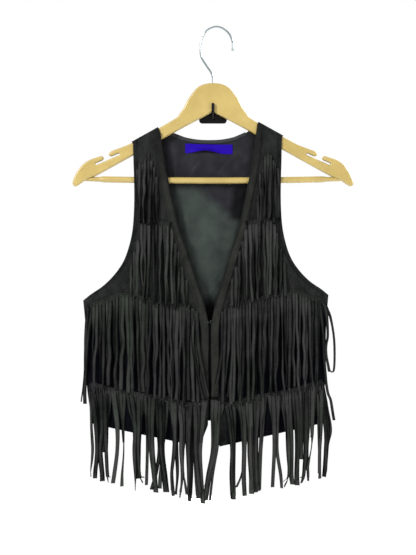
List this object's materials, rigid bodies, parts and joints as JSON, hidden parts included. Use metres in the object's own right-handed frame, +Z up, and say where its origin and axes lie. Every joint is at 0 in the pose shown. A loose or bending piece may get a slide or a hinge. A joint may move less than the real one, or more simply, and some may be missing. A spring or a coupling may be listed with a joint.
{
  "type": "fringed vest on a hanger and wall hook",
  "caption": "Sleeveless V-neck suede vest with rows of hanging fringe on both fronts, on a flat hanger held by a small wall hook.",
  "frame": {"origin": "centre of the wall hook's back face, where the wall holds it", "axes": "+Z up, +X to the viewer's right, +Y from the viewer into the wall"},
  "size_m": [0.4372, 0.0335, 0.7417],
  "materials": {
    "panel_suede": "faux suede, napped and matt",
    "fringe_suede": "faux suede strips, matt with rubbed faces",
    "lining_satin": "satin lining, soft sheen",
    "label_tape": "woven tape, blank",
    "hanger_plastic": "satin moulded plastic",
    "steel_wire": "plated wire",
    "wall_hook_black": "glossy black"
  },
  "bodies": {
    "root": {"front_right_panel": "panel_suede", "front_left_panel": "panel_suede", "back_panel": "panel_suede", "back_neck_binding": "panel_suede", "fringe_right_1": "fringe_suede", "fringe_right_2": "fringe_suede", "fringe_right_3": "fringe_suede", "fringe_right_4": "fringe_suede", "fringe_left_1": "fringe_suede", "fringe_left_2": "fringe_suede", "fringe_left_3": "fringe_suede", "fringe_left_4": "fringe_suede", "back_lining": "lining_satin", "neck_label": "label_tape", "hanger_board": "hanger_plastic", "trouser_bar": "hanger_plastic", "wire_hook": "steel_wire", "closure_hook": "steel_wire", "closure_eye": "steel_wire", "wall_hook": "wall_hook_black"}
  },
  "joints": []
}
